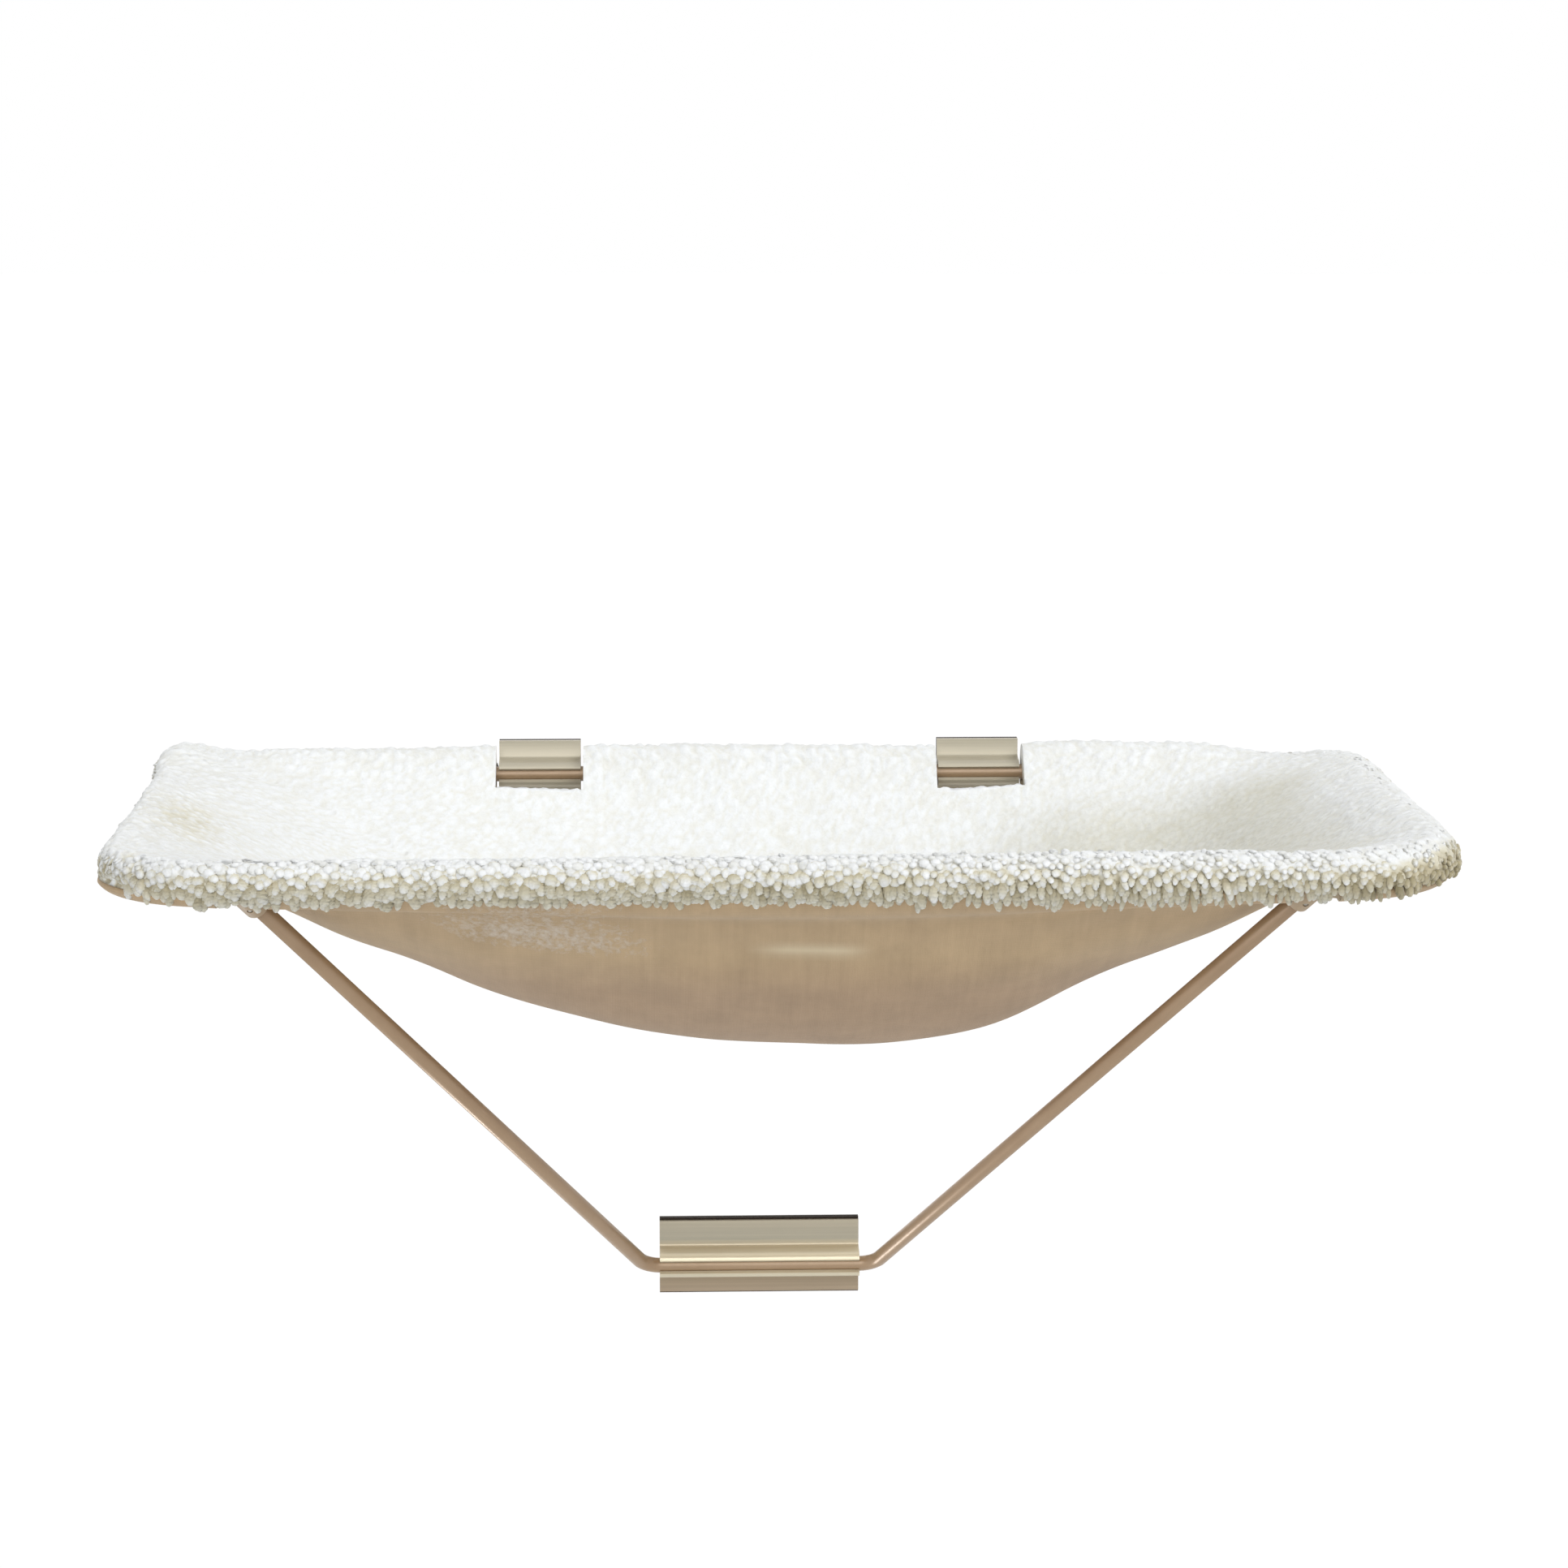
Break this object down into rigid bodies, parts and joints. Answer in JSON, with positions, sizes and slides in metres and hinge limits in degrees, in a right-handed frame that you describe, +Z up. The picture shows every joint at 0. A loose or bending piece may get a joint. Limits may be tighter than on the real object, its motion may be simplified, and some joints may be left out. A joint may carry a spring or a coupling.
{
  "type": "cat window hammock",
  "caption": "Wall or window hammock for a cat: a fleece sling on a rod rim that hinges on rear rails and rests on a bent wire brace held in a wall rail.",
  "frame": {"origin": "middle of the lower wall rail's foam pad, on the wall plane, level with the middle of the rail's height", "axes": "+X along the hammock's width to the right as seen from the room, +Y into the wall, +Z up"},
  "size_m": [0.5926, 0.3323, 0.2817],
  "materials": {
    "rail_metal": "satin champagne anodised",
    "rod_metal": "satin champagne paint",
    "foam_pad": "matt closed-cell foam",
    "plated_steel": "zinc plated",
    "saddle_plastic": "matt tan",
    "fleece": "curly cream sherpa",
    "suede": "tan brushed suede weave"
  },
  "bodies": {
    "rails": {"wall_rail": "rail_metal", "wall_rail_pad": "foam_pad", "rear_rail_left": "rail_metal", "rear_rail_pad_left": "foam_pad", "rail_screw_left_1": "plated_steel", "rail_screw_left_2": "plated_steel", "rear_rail_right": "rail_metal", "rear_rail_pad_right": "foam_pad", "rail_screw_right_1": "plated_steel", "rail_screw_right_2": "plated_steel"},
    "sling_frame": {"rim_front_tube": "rod_metal", "rim_rear_tube": "rod_metal", "rim_plug_left": "plated_steel", "rim_plug_right": "plated_steel", "sling_fleece": "fleece", "sling_backing": "suede"},
    "brace": {"brace_wire": "rod_metal", "brace_saddle_left": "saddle_plastic", "brace_saddle_right": "saddle_plastic", "saddle_pin_left": "plated_steel", "saddle_pin_right": "plated_steel"}
  },
  "joints": [
    {"name": "frame_hinge", "type": "hinge", "parent": "rails", "child": "sling_frame", "pos_m": [0, -0.0125, 0.24705], "axis": [-1, 0, 0], "range_deg": [0, 90]},
    {"name": "brace_hinge", "type": "hinge", "parent": "rails", "child": "brace", "pos_m": [0, -0.0125, -0.00275], "axis": [1, 0, 0], "range_deg": [0, 125]}
  ]
}
